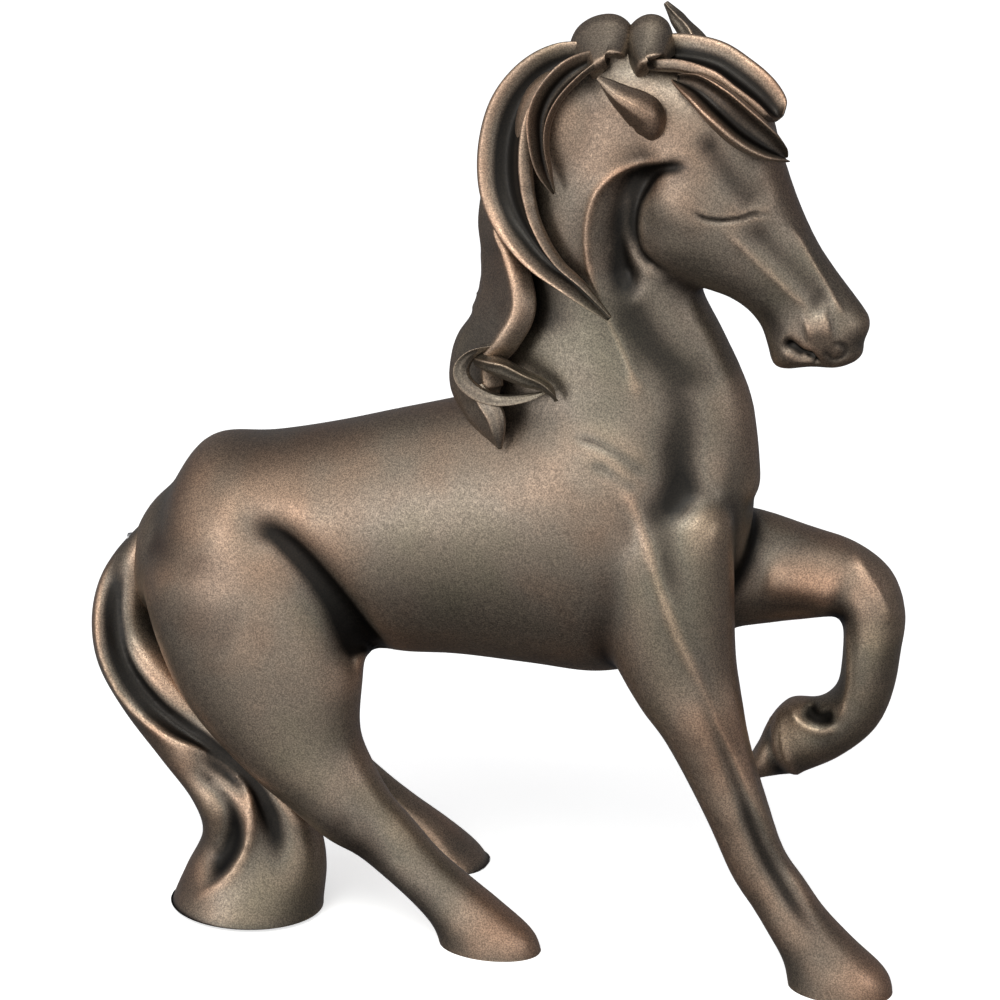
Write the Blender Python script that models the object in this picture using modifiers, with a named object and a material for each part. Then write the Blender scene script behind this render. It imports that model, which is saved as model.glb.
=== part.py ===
"""Stylised bronze horse: three hooves and the foot of the tail on the ground, left foreleg raised and folded.

The horse faces +X, its left side is +Y, and the ground is z = 0. Sizes are in millimetres and are turned into
metres as each mesh is made. The skin is lofted limb by limb and fused; the joint planes then part it into
castings with a fine gap, and the ears, the locks of hair, the dowels and the tail pad are separate pieces.
"""

import math

import bmesh
import bpy
from mathutils import Matrix, Vector

MM = 0.001
GAP = 0.3              # clearance between neighbouring pieces
LIMB_RING = 24         # points round a limb section
LIMB_STEPS = 4         # rings from one limb station to the next
TAIL_RING = 18
TAIL_STEPS = 2
LOCK_RING = 8
LOCK_STEPS = 2
VOXEL = 1.8            # grain of the fused skin
SKIN_FACES = 4800      # triangles left in the fused skin
SMALLEST_SHELL = 12    # faces below which a shell is a crumb left by a cut
PAD_THICKNESS = 0.9
PIN_RADIUS = 2.0
PIN_SIDES = 16

# A limb station is a section through the limb, upright in the plane of the horse's length: the two
# ends of its long axis (x, z, x, z), its centre's y and its half-width along y.
TORSO = [
    (-98.5, 122, -99, 80, 4, 17),
    (-88.5, 136.5, -88, 74, 4, 25),
    (-72, 139, -72, 74, 3, 28),
    (-52, 144, -52, 78, 3, 26),
    (-32, 150.5, -32, 79, 2, 24),
    (-12, 156.5, -12, 81, 2, 25),
    (9, 164, 10, 81, 2, 26),
    (26, 174, 31, 81, 2, 26),
    (41, 174, 47, 88, 2, 24),
    (54, 167, 60, 106, 2, 17),
]
NECK = [
    (-6, 152, 73.5, 139, 2, 20),
    (-3, 172, 70.5, 163, 2, 17),
    (2, 191, 62.5, 181, 2, 14.5),
    (5, 211, 55.5, 195, 1, 13.5),
    (10, 231, 56, 210, 0, 13),
    (20, 248, 61, 224, 0, 12),
]
HEAD = [
    (40, 256, 27, 236, 0, 11),
    (57, 255, 33, 225, 0, 13),
    (71, 250, 36, 213, 0, 15),
    (77, 234, 41, 200, -1, 15),
    (82, 220.5, 54, 196, -1, 13.5),
    (88, 209.5, 66, 193, -2, 11),
    (94.5, 201, 73, 187, -2, 9.5),
    (100.5, 194.5, 76, 179, -3, 9),
    (103.5, 189.5, 78, 175, -3, 8),
    (100.5, 184, 88, 177, -3, 6),
]
RIGHT_FORELEG = [
    (31, 119, 69, 134, -11, 14),
    (35.5, 94, 70, 117, -12, 13.5),
    (44.5, 78.5, 71, 97, -13, 12),
    (51.5, 70.5, 73.5, 83, -14, 10.5),
    (58, 59, 76, 70, -13.5, 9),
    (65, 45, 81, 54, -13, 8),
    (71.5, 30.5, 86, 39.5, -12.5, 7.5),
    (77.5, 21.5, 92, 31, -12, 7.5),
    (82.5, 14, 98, 22.5, -12, 8.5),
    (86.5, 7, 107, 14, -12, 9),
    (88, 0, 117, 5, -12, 10),
    (88, -8, 118, -6, -12, 10),
]
LEFT_FORELEG = [
    (53, 130, 54, 90, 13, 13),
    (69.5, 127, 66, 92.5, 17, 12),
    (83, 122.5, 80, 95, 20, 11),
    (95.5, 119, 90, 97, 21, 10),
    (106, 111.5, 93, 98.5, 21, 10),
    (110.5, 100, 93.5, 93, 21, 10),
    (110, 89, 93.5, 86, 20, 9.5),
    (108, 75, 92.5, 78, 20, 9),
    (103.5, 64.5, 89, 73.5, 20, 8.5),
    (95, 56, 84.5, 71.5, 20, 8.5),
    (86, 50.5, 79, 71.5, 20, 9.5),
    (78.5, 47.5, 73.5, 65, 20, 9.5),
    (74, 47.5, 70.5, 57, 20, 8),
]
RIGHT_HIND_LEG = [
    (-92, 112, -58, 121, -6, 13),
    (-103, 101, -44, 108, -9, 17.5),
    (-100.5, 85, -37, 88, -11, 18),
    (-90.5, 63.5, -36.5, 76.5, -13, 16),
    (-73, 46, -37, 60, -15, 13),
    (-56.5, 34, -33, 50.5, -16, 11),
    (-45.5, 26.5, -27, 41.5, -17, 9),
    (-36.5, 23, -21.5, 36.5, -17.5, 8),
    (-26.5, 16.5, -12.5, 27, -18, 8),
    (-19, 10.5, -3.5, 20, -18, 8.5),
    (-14, 5, 7, 12.5, -18, 9),
    (-12, -1, 17, 4, -18, 9.5),
    (-12, -8, 18, -6, -18, 9.5),
]
LEFT_HIND_LEG = [
    (-90, 110, -62, 117, 12, 12),
    (-100, 97, -66, 106, 14, 15),
    (-97, 77, -66, 88, 16, 15),
    (-90, 58, -63, 68, 19, 13.5),
    (-80, 40, -60, 50, 23, 11),
    (-67, 26, -55, 36, 26.5, 9),
    (-57, 17.5, -46, 26.5, 29, 8),
    (-48, 11, -36.5, 19.5, 30, 7.5),
    (-39, 6, -28, 13.5, 31, 8),
    (-32, 2, -22, 7.5, 32, 10),
    (-27, -3, -17, 3, 32, 11),
]
TAIL = [
    (-108, 109, -98, 116, 1, 5),
    (-115, 101, -100, 106, -1, 7),
    (-120, 91.5, -104, 94, -3, 8.5),
    (-121, 81, -104, 81.5, -6, 10),
    (-118.5, 68.5, -97, 74, -8, 11),
    (-110.5, 55.5, -84, 63.5, -9, 12),
    (-99, 43.5, -68, 50, -11, 13),
    (-89, 32.5, -56.5, 38, -12, 14),
    (-86, 22, -51, 25, -12, 14),
    (-91, 10.5, -49, 14, -13, 16.5),
    (-95, 0, -50, 2, -14, 19),
    (-95, -9, -50, -8, -14, 19),
]

# A lock station is the two edges of the lock, (x, y, z) each, and its thickness.
RIGHT_EAR = [
    ((44, -12.5, 236.5), (46.5, -12.5, 237.5), 2),
    ((41.5, -13, 238), (49, -13, 241), 7),
    ((40, -13.5, 240), (48.5, -14, 246.5), 9),
    ((38.5, -14, 242), (45, -15, 249.5), 9),
    ((36, -14.5, 245.5), (40.5, -16, 251), 7.5),
    ((33.5, -15, 249.5), (36, -16.5, 252.5), 5),
    ((31.5, -16, 253), (32, -16.5, 253.5), 1.5),
]
LEFT_EAR = [
    ((46, 9, 246), (59, 12, 246), 9),
    ((45, 11.5, 258), (54, 14, 256), 7),
    ((41.5, 13, 264), (48, 15, 262), 4.5),
    ((40.5, 14, 267), (42, 14, 267.5), 1.5),
]
FORELOCK_UPPER = [
    ((38, 1, 257), (43, -6, 252), 6),
    ((48, 2, 259.5), (53.5, -9, 255), 7),
    ((55.5, 2, 259), (61, -11, 253.5), 7),
    ((64.5, 1, 256.5), (68, -13, 250), 7),
    ((71.5, 0, 252.5), (74, -13, 246.5), 6),
    ((76.5, -2, 247), (77, -12, 243.5), 4.5),
    ((78, -6, 241.5), (77.5, -9, 242), 1.5),
]
FORELOCK_LOWER = [
    ((51, -10, 254), (52, -13, 251.5), 4),
    ((58.5, -13, 255.5), (57, -16, 248), 7),
    ((66, -15, 253), (62.5, -18, 243), 8),
    ((72.5, -15, 248), (68.5, -18, 238), 8),
    ((77.5, -14, 243), (75, -16, 234.5), 7),
    ((80, -11, 237.5), (79.5, -13, 233.5), 5),
    ((80.5, -8, 234), (80, -9, 233.5), 1.5),
]
POLL_CURL_REAR = [
    ((21.5, -1, 254), (27, -6, 253), 7),
    ((24, -1, 261.5), (29.5, -6, 259), 8),
    ((29, -1, 266), (32, -6, 261.5), 8),
    ((34.5, -1, 264), (34.5, -6, 260), 8),
    ((36.5, -1, 256), (35, -6, 255), 6),
]
POLL_CURL_FRONT = [
    ((35.5, 0, 256), (40, -6, 254), 6),
    ((37, 0, 264.5), (41, -6, 261), 7),
    ((40.5, 0, 267), (43, -6, 263), 8),
    ((45.5, 0, 264), (44.5, -6, 260.5), 8),
    ((47.5, 0, 256), (45.5, -6, 254), 6),
]
MANE_LOCK_LONG = [
    ((26, -3, 256.5), (30, -9, 255.5), 5),
    ((16.5, -2, 255), (23.5, -11, 252.5), 7),
    ((8, -1, 250), (18.5, -12, 247.5), 8),
    ((1, -1, 241), (14.5, -13, 241), 8.5),
    ((-2.5, -1, 230), (13, -14, 232), 8.5),
    ((-2.5, -2, 219), (13.5, -14.5, 222.5), 8.5),
    ((1, -5, 211.5), (16, -15.5, 214.5), 8),
    ((7, -9, 206), (20, -16.5, 207), 7.5),
    ((14, -12, 201), (24.5, -17, 201.5), 6.5),
    ((24, -15, 195.5), (30.5, -17.5, 196.5), 5),
    ((35, -16, 188), (36.5, -16.5, 189), 1.5),
]
MANE_LOCK_INNER = [
    ((27, -8, 256.5), (31, -11, 255.5), 4),
    ((21, -11, 254.5), (26, -14, 251), 6),
    ((16, -13, 249), (21.5, -15.5, 245.5), 6.5),
    ((13.5, -14, 242), (19, -16, 239.5), 6.5),
    ((14, -15, 234), (18.5, -16, 233), 6),
    ((15.5, -15, 227.5), (19.5, -15.5, 226.5), 4.5),
    ((19.5, -14.5, 220.5), (20, -14.5, 221), 1.5),
]
MANE_LOCK_REAR = [
    ((-4, -2, 220), (2.5, -4, 217.5), 6),
    ((-5.5, 0, 209.5), (6, -8, 206.5), 9),
    ((-5, 0, 200.5), (9.5, -10, 201), 9.5),
    ((-5, 0, 193), (13, -13, 194), 10),
    ((-6, -1, 186), (14.5, -15, 188), 10.5),
    ((-9, -2, 179), (12, -16, 182), 10.5),
    ((-11.5, -3, 173), (7.5, -15, 176.5), 10),
    ((-12.5, -4, 167), (5.5, -14, 171.5), 9.5),
    ((-12, -5, 161), (5, -14, 167), 9),
    ((-8.5, -7, 156.5), (4.5, -14, 163), 7.5),
    ((-4.5, -10, 153.5), (4.5, -15.5, 159.5), 5.5),
    ((0, -13, 151), (5, -16.5, 155.5), 4),
    ((5, -16, 148.5), (5.5, -17, 150), 1.5),
]
MANE_LOCK_CURL = [
    ((3.5, -17, 179.5), (4, -17, 177.5), 3),
    ((-2, -18, 177), (-0.5, -19, 175.5), 5),
    ((-5.5, -18, 172), (-3, -20, 172), 6),
    ((-5, -18, 167), (-2, -20, 169), 6),
    ((-0.5, -18, 163.5), (1.5, -20, 166.5), 5.5),
    ((6, -18, 162.5), (6.5, -19.5, 165), 4.5),
    ((13, -18, 164), (13.5, -19, 166), 3.5),
    ((19, -18, 166.5), (19, -18, 167.5), 1.5),
]
MANE_LOCK_FINGER = [
    ((-1, -16, 176), (-1.5, -17, 172), 4),
    ((3.5, -17, 176), (3, -19, 171), 7),
    ((8, -17, 174.5), (7.5, -20, 170), 8),
    ((13, -17.5, 172.5), (12.5, -20, 168.5), 7),
    ((17.5, -17.5, 171), (17, -19, 167.5), 5.5),
    ((20.5, -17.5, 168.5), (19.5, -18.5, 166), 4),
    ((21.5, -17.5, 164.5), (21.5, -18, 164.5), 1.5),
]
MANE_LOCK_TIP = [
    ((-2.5, -15, 165), (1, -18, 167), 4),
    ((-0.5, -16, 161.5), (4, -19.5, 164.5), 6),
    ((2, -17, 158), (7, -20, 161), 6.5),
    ((4, -18, 154), (7.5, -20, 156.5), 5),
    ((6, -18.5, 149.5), (6.5, -19, 150), 1.5),
]

# A joint is a fine slot that parts the skin: its line seen from the side (x, z), and its y from and to.
JOINTS = [
    ([(30, 270), (33, 206), (64, 187)], -24, 24),
    ([(-16, 164), (84, 149.5)], -34, 36),
    ([(41, 78), (78, 102.5)], -34, 4),
    ([(76, 142), (74, 84)], -3, 40),
    ([(-112, 50), (-24, 76)], -40, 48),
]

# A dowel crosses a joint: its middle, the direction it points in and half its length.
PINS = {
    "head_pin": ((32, 0, 226), (1, 0, -0.2), 8),
    "neck_pin": ((32, 1, 157), (0.12, 0, 1), 10),
    "right_fore_pin": ((59, -13, 90), (0.5, 0, -0.85), 8),
    "left_fore_pin": ((75, 18, 109), (1, 0, -0.05), 8),
    "right_hind_pin": ((-62, -14, 65), (0.3, 0, -1), 9),
    "left_hind_pin": ((-72, 23, 62), (0.3, 0, -1), 9),
    "tail_pin": ((-106, -1, 105), (-1, -0.1, -0.2), 5.5),
}

# A point inside each casting that the joints part from the skin.
CASTINGS = {
    "torso_casting": (-20, 2, 116),
    "neck_casting": (30, 1, 190),
    "head_casting": (68, -1, 215),
    "right_foreleg": (72, -13, 55),
    "left_foreleg": (97, 20, 88),
    "right_hind_leg": (-42, -16, 35),
    "left_hind_leg": (-52, 28, 30),
}

# From the design axes above to the middle of the footprint.
TO_ORIGIN = (1.7, -4.7, 0)

# The flat felt under the tail foot: centre x, y and half-sizes.
TAIL_PAD = (-72, -14, 19, 16)

# A material is its colour, its metallic value and its roughness.
BRONZE = ((0.115, 0.075, 0.05, 1), 1.0, 0.42)
STEEL = ((0.5, 0.5, 0.5, 1), 1.0, 0.3)
FELT = ((0.02, 0.02, 0.02, 1), 0.0, 0.95)


def clear_scene():
    for obj in list(bpy.data.objects):
        bpy.data.objects.remove(obj)


def collection(name, cutters=False):
    made = bpy.data.collections.new(name)
    bpy.context.scene.collection.children.link(made)
    made.hide_render = cutters
    return made


def catmull(rows, steps):
    """Rows of numbers with smooth rows between them, every given row kept."""
    out = []
    for i in range(len(rows) - 1):
        a, b, c, d = (rows[min(max(k, 0), len(rows) - 1)] for k in (i - 1, i, i + 1, i + 2))
        for step in range(steps):
            t = step / steps
            out.append([
                0.5 * (2 * q + (r - p) * t + (2 * p - 5 * q + 4 * r - s) * t**2
                       + (3 * q - p - 3 * r + s) * t**3)
                for p, q, r, s in zip(a, b, c, d)
            ])
    out.append(list(rows[-1]))
    return out


def limb_rings(stations, steps):
    rings = []
    for x1, z1, x2, z2, y, w in catmull(stations, steps):
        centre = Vector(((x1 + x2) / 2, y, (z1 + z2) / 2))
        rings.append((centre, Vector(((x1 - x2) / 2, 0, (z1 - z2) / 2)), Vector((0, w, 0))))
    return rings


def lock_rings(stations):
    rows = [[*left, *right, thick] for left, right, thick in stations]
    rows = catmull(rows, LOCK_STEPS)
    centres = [(Vector(row[:3]) + Vector(row[3:6])) / 2 for row in rows]
    rings = []
    for i, row in enumerate(rows):
        along = (centres[min(i + 1, len(rows) - 1)] - centres[max(i - 1, 0)]).normalized()
        across = (Vector(row[:3]) - Vector(row[3:6])) / 2
        across -= along * across.dot(along)
        rings.append((centres[i], across, along.cross(across).normalized() * row[6] / 2))
    return rings


def loft(name, rings, count, home):
    """A closed mesh through elliptical rings, each a centre and two half axes, with domed ends."""
    first, last = rings[0], rings[-1]
    start = (rings[0][0] - rings[1][0]).normalized() * first[2].length
    end = (rings[-1][0] - rings[-2][0]).normalized() * last[2].length
    domes = [(0.85, 0.5), (0.5, 0.85)]
    head = [(first[0] + start * k, first[1] * s, first[2] * s) for s, k in reversed(domes)]
    tail = [(last[0] + end * k, last[1] * s, last[2] * s) for s, k in domes]
    rings = head + rings + tail
    mesh = bmesh.new()
    loops = []
    for centre, long_axis, short_axis in rings:
        turn = [2 * math.pi * k / count for k in range(count)]
        ring = [centre + long_axis * math.cos(t) + short_axis * math.sin(t) for t in turn]
        loops.append([mesh.verts.new(point * MM) for point in ring])
    for one, two in zip(loops, loops[1:]):
        for k in range(count):
            mesh.faces.new((one[k], one[(k + 1) % count], two[(k + 1) % count], two[k]))
    mesh.faces.new(loops[0])
    mesh.faces.new(list(reversed(loops[-1])))
    return to_object(name, mesh, home)


def to_object(name, mesh, home):
    bmesh.ops.recalc_face_normals(mesh, faces=mesh.faces)
    if mesh.calc_volume(signed=True) < 0:
        bmesh.ops.reverse_faces(mesh, faces=mesh.faces)
    data = bpy.data.meshes.new(name)
    mesh.to_mesh(data)
    mesh.free()
    obj = bpy.data.objects.new(name, data)
    home.objects.link(obj)
    return obj


def joined(name, objects, home):
    mesh = bmesh.new()
    for obj in objects:
        mesh.from_mesh(obj.data)
        bpy.data.objects.remove(obj)
    return to_object(name, mesh, home)


def modified(obj, kind, **settings):
    modifier = obj.modifiers.new(kind.lower(), kind)
    for key, value in settings.items():
        setattr(modifier, key, value)
    return modifier


def bake(obj):
    """Replaces the object's mesh by the one its modifiers give."""
    graph = bpy.context.evaluated_depsgraph_get()
    data = bpy.data.meshes.new_from_object(obj.evaluated_get(graph))
    obj.modifiers.clear()
    obj.data = data


def subtract(obj, *cutters):
    for cutter in cutters:
        modified(obj, "BOOLEAN", operation="DIFFERENCE", solver="EXACT", object=cutter)
    bake(obj)


def cylinder(mesh, middle, direction, radius, half):
    turn = Vector(direction).to_track_quat("Z", "Y").to_matrix().to_4x4()
    place = Matrix.Translation(Vector(middle) * MM) @ turn
    bmesh.ops.create_cone(
        mesh, cap_ends=True, segments=PIN_SIDES, radius1=radius * MM, radius2=radius * MM,
        depth=2 * half * MM,
        matrix=place,
    )


def slot(mesh, line, y_from, y_to):
    """A thin upright sheet that follows a line in the side view."""
    points = [Vector(p) for p in line]
    sides = ([], [])
    for i, p in enumerate(points):
        along = (points[min(i + 1, len(points) - 1)] - points[max(i - 1, 0)]).normalized()
        off = Vector((-along.y, along.x)) * GAP / 2
        sides[0].append(p + off)
        sides[1].append(p - off)
    outline = sides[0] + sides[1][::-1]
    near = [mesh.verts.new(Vector((p.x, y_from, p.y)) * MM) for p in outline]
    far = [mesh.verts.new(Vector((p.x, y_to, p.y)) * MM) for p in outline]
    mesh.faces.new(near)
    mesh.faces.new(far[::-1])
    for k in range(len(outline)):
        n = (k + 1) % len(outline)
        mesh.faces.new((near[k], far[k], far[n], near[n]))


def box(mesh, low, high):
    size = Vector(high) - Vector(low)
    place = Matrix.Translation((Vector(low) + size / 2) * MM) @ Matrix.Diagonal((*(size * MM), 1))
    bmesh.ops.create_cube(mesh, size=1, matrix=place)


def islands(obj):
    """The separate closed shells of a mesh, as new bmeshes."""
    whole = bmesh.new()
    whole.from_mesh(obj.data)
    whole.verts.index_update()
    seen = set()
    found = []
    for vert in whole.verts:
        if vert.index in seen or not vert.link_faces:
            continue
        seen.add(vert.index)
        group = [vert]
        for member in group:
            for edge in member.link_edges:
                other = edge.other_vert(member)
                if other.index not in seen:
                    seen.add(other.index)
                    group.append(other)
        faces = {f for v in group for f in v.link_faces}
        if len(faces) < SMALLEST_SHELL:
            continue
        part = bmesh.new()
        copies = {v: part.verts.new(v.co) for v in group}
        for face in faces:
            part.faces.new([copies[v] for v in face.verts])
        found.append(part)
    whole.free()
    return found


def biggest(obj):
    """Keeps only the largest shell of the object."""
    parts = sorted(islands(obj), key=lambda part: part.calc_volume(signed=True))
    obj.data.clear_geometry()
    parts[-1].to_mesh(obj.data)
    for part in parts:
        part.free()


def clearance(obj, home):
    grown = bpy.data.objects.new(obj.name + "_clearance", obj.data.copy())
    home.objects.link(grown)
    grown.display_type = "WIRE"
    modified(grown, "DISPLACE", strength=GAP * MM, mid_level=0)
    bake(grown)
    return grown


def material(name, look):
    made = bpy.data.materials.new(name)
    made.use_nodes = True
    shader = made.node_tree.nodes["Principled BSDF"]
    shader.inputs["Base Color"].default_value = look[0]
    shader.inputs["Metallic"].default_value = look[1]
    shader.inputs["Roughness"].default_value = look[2]
    return made


def finish(obj, look):
    obj.data.materials.clear()
    obj.data.materials.append(material(obj.name + "_finish", look))
    obj.data.shade_smooth()


clear_scene()
STATUETTE = collection("bronze_horse")
CUTTERS = collection("cutters", cutters=True)

# The skin: every limb lofted, fused, smoothed and thinned out.
LIMBS = [TORSO, NECK, HEAD, RIGHT_FORELEG, LEFT_FORELEG, RIGHT_HIND_LEG, LEFT_HIND_LEG]
limbs = [loft("limb", limb_rings(rows, LIMB_STEPS), LIMB_RING, STATUETTE) for rows in LIMBS]
skin = joined("skin", limbs, STATUETTE)
modified(skin, "REMESH", mode="VOXEL", voxel_size=VOXEL * MM)
modified(skin, "SMOOTH", factor=0.6, iterations=8)
bake(skin)
modified(skin, "DECIMATE", ratio=SKIN_FACES / (2 * len(skin.data.polygons)))
bake(skin)

# The ground slab levels the hooves, the slots part the limbs, and the bores take the dowels.
tool = bmesh.new()
box(tool, (-200, -100, -40), (200, 100, 0))
ground = to_object("ground", tool, CUTTERS)
tool = bmesh.new()
box(tool, (-200, -100, -40), (200, 100, PAD_THICKNESS + GAP))
tail_floor = to_object("tail_floor", tool, CUTTERS)
tool = bmesh.new()
for line, y_from, y_to in JOINTS:
    slot(tool, line, y_from, y_to)
slots = to_object("slots", tool, CUTTERS)
tool = bmesh.new()
for middle, direction, half in PINS.values():
    cylinder(tool, middle, direction, PIN_RADIUS + GAP, half + GAP)
bores = to_object("bores", tool, CUTTERS)
for cutter in (ground, tail_floor, slots, bores):
    cutter.display_type = "WIRE"

skin_room = clearance(skin, CUTTERS)
subtract(skin, ground, bores, slots)
for part in islands(skin):
    middle = sum((v.co for v in part.verts), Vector()) / len(part.verts) / MM
    name = min(CASTINGS, key=lambda key: (Vector(CASTINGS[key]) - middle).length)
    finish(to_object(name, part, STATUETTE), BRONZE)
bpy.data.objects.remove(skin)

# The tail, the ears and the locks: each is cut back to the skin and to the pieces laid on before it.
LOCKS = [
    ("right_ear", RIGHT_EAR, []),
    ("left_ear", LEFT_EAR, []),
    ("forelock_lower", FORELOCK_LOWER, ["right_ear"]),
    ("forelock_upper", FORELOCK_UPPER, ["right_ear", "left_ear", "forelock_lower"]),
    ("poll_curl_front", POLL_CURL_FRONT, ["left_ear", "forelock_upper"]),
    ("poll_curl_rear", POLL_CURL_REAR, ["poll_curl_front"]),
    ("mane_lock_inner", MANE_LOCK_INNER, ["poll_curl_rear"]),
    ("mane_lock_long", MANE_LOCK_LONG, ["poll_curl_rear", "mane_lock_inner"]),
    ("mane_lock_rear", MANE_LOCK_REAR, ["mane_lock_long"]),
    ("mane_lock_finger", MANE_LOCK_FINGER, ["mane_lock_rear"]),
    ("mane_lock_tip", MANE_LOCK_TIP, ["mane_lock_rear", "mane_lock_finger"]),
    ("mane_lock_curl", MANE_LOCK_CURL, ["mane_lock_rear", "mane_lock_finger", "mane_lock_tip"]),
]
tail = loft("tail_casting", limb_rings(TAIL, TAIL_STEPS), TAIL_RING, STATUETTE)
subtract(tail, skin_room, tail_floor, bores)
biggest(tail)
finish(tail, BRONZE)
rooms = {}
for name, stations, neighbours in LOCKS:
    lock = loft(name, lock_rings(stations), LOCK_RING, STATUETTE)
    rooms[name] = clearance(lock, CUTTERS)
    subtract(lock, skin_room, *[rooms[other] for other in neighbours])
    biggest(lock)
    finish(lock, BRONZE)

for name, (middle, direction, half) in PINS.items():
    tool = bmesh.new()
    cylinder(tool, middle, direction, PIN_RADIUS, half)
    finish(to_object(name, tool, STATUETTE), STEEL)

tool = bmesh.new()
bmesh.ops.create_cone(
    tool, cap_ends=True, segments=32, radius1=MM, radius2=MM, depth=PAD_THICKNESS * MM,
    matrix=Matrix.Translation((TAIL_PAD[0] * MM, TAIL_PAD[1] * MM, PAD_THICKNESS / 2 * MM))
    @ Matrix.Diagonal((TAIL_PAD[2], TAIL_PAD[3], 1, 1)),
)
finish(to_object("tail_pad", tool, STATUETTE), FELT)

base = bpy.data.objects.new("statuette_base_point", None)
base.location = Vector(TO_ORIGIN) * MM
for obj in list(STATUETTE.objects):
    obj.parent = base
STATUETTE.objects.link(base)
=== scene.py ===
"""Looks of the bronze horse statuette: its chased skin, hair, patina, floor, lights and camera.

Sizes are in millimetres on the design axes of the statuette (it faces +X, its left is +Y) and are moved to the
footprint's middle and turned into metres as each mesh is made.
"""
import math

import bmesh
import bpy
import numpy as np
from mathutils import Matrix, Vector


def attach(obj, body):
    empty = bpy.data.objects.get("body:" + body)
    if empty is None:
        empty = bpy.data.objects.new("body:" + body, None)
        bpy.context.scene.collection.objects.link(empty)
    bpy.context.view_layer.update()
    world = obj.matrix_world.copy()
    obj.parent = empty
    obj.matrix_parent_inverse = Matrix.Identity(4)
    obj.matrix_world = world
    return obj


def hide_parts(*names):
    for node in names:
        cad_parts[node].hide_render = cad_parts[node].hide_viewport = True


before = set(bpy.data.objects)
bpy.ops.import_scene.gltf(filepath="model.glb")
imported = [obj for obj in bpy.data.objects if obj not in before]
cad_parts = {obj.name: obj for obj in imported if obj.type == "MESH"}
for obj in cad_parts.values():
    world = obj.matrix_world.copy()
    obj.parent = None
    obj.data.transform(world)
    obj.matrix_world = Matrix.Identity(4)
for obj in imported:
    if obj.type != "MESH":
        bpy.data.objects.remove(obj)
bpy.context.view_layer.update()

MM = 0.001
TO_ORIGIN = np.array([1.7, -4.7, 0.0])

TORSO = [
    (-98.5, 122, -99, 80, 4, 17),
    (-88.5, 136.5, -88, 74, 4, 25),
    (-72, 139, -72, 74, 3, 28),
    (-52, 144, -52, 78, 3, 26),
    (-32, 150.5, -32, 79, 2, 24),
    (-12, 156.5, -12, 81, 2, 25),
    (9, 164, 10, 81, 2, 26),
    (26, 174, 31, 81, 2, 26),
    (41, 174, 47, 88, 2, 24),
    (54, 167, 60, 106, 2, 17),
]

NECK = [
    (-6, 152, 73.5, 139, 2, 20),
    (-3, 172, 70.5, 163, 2, 17),
    (2, 191, 62.5, 181, 2, 14.5),
    (5, 211, 55.5, 195, 1, 13.5),
    (10, 231, 56, 210, 0, 13),
    (20, 248, 61, 224, 0, 12),
]

HEAD = [
    (40, 256, 27, 236, 0, 11),
    (57, 255, 33, 225, 0, 13),
    (71, 250, 36, 213, 0, 15),
    (77, 234, 41, 200, -1, 15),
    (82, 220.5, 54, 196, -1, 13.5),
    (88, 209.5, 66, 193, -2, 11),
    (94.5, 201, 73, 187, -2, 9.5),
    (100.5, 194.5, 76, 179, -3, 9),
    (103.5, 189.5, 78, 175, -3, 8),
    (100.5, 184, 88, 177, -3, 6),
]

RIGHT_FORELEG = [
    (31, 119, 69, 134, -11, 14),
    (35.5, 94, 70, 117, -12, 13.5),
    (44.5, 78.5, 71, 97, -13, 12),
    (51.5, 70.5, 73.5, 83, -14, 10.5),
    (58, 59, 76, 70, -13.5, 9),
    (65, 45, 81, 54, -13, 8),
    (71.5, 30.5, 86, 39.5, -12.5, 7.5),
    (77.5, 21.5, 92, 31, -12, 7.5),
    (82.5, 14, 98, 22.5, -12, 8.5),
    (86.5, 7, 107, 14, -12, 9),
    (88, 0, 117, 5, -12, 10),
    (88, -8, 118, -6, -12, 10),
]

LEFT_FORELEG = [
    (53, 130, 54, 90, 13, 13),
    (69.5, 127, 66, 92.5, 17, 12),
    (83, 122.5, 80, 95, 20, 11),
    (95.5, 119, 90, 97, 21, 10),
    (106, 111.5, 93, 98.5, 21, 10),
    (110.5, 100, 93.5, 93, 21, 10),
    (110, 89, 93.5, 86, 20, 9.5),
    (108, 75, 92.5, 78, 20, 9),
    (103.5, 64.5, 89, 73.5, 20, 8.5),
    (95, 56, 84.5, 71.5, 20, 8.5),
    (86, 50.5, 79, 71.5, 20, 9.5),
    (78.5, 47.5, 73.5, 65, 20, 9.5),
    (74, 47.5, 70.5, 57, 20, 8),
]

RIGHT_HIND_LEG = [
    (-92, 112, -58, 121, -6, 13),
    (-103, 101, -44, 108, -9, 17.5),
    (-100.5, 85, -37, 88, -11, 18),
    (-90.5, 63.5, -36.5, 76.5, -13, 16),
    (-73, 46, -37, 60, -15, 13),
    (-56.5, 34, -33, 50.5, -16, 11),
    (-45.5, 26.5, -27, 41.5, -17, 9),
    (-36.5, 23, -21.5, 36.5, -17.5, 8),
    (-26.5, 16.5, -12.5, 27, -18, 8),
    (-19, 10.5, -3.5, 20, -18, 8.5),
    (-14, 5, 7, 12.5, -18, 9),
    (-12, -1, 17, 4, -18, 9.5),
    (-12, -8, 18, -6, -18, 9.5),
]

LEFT_HIND_LEG = [
    (-90, 110, -62, 117, 12, 12),
    (-100, 97, -66, 106, 14, 15),
    (-97, 77, -66, 88, 16, 15),
    (-90, 58, -63, 68, 19, 13.5),
    (-80, 40, -60, 50, 23, 11),
    (-67, 26, -55, 36, 26.5, 9),
    (-57, 17.5, -46, 26.5, 29, 8),
    (-48, 11, -36.5, 19.5, 30, 7.5),
    (-39, 6, -28, 13.5, 31, 8),
    (-32, 2, -22, 7.5, 32, 10),
    (-27, -3, -17, 3, 32, 11),
]

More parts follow.
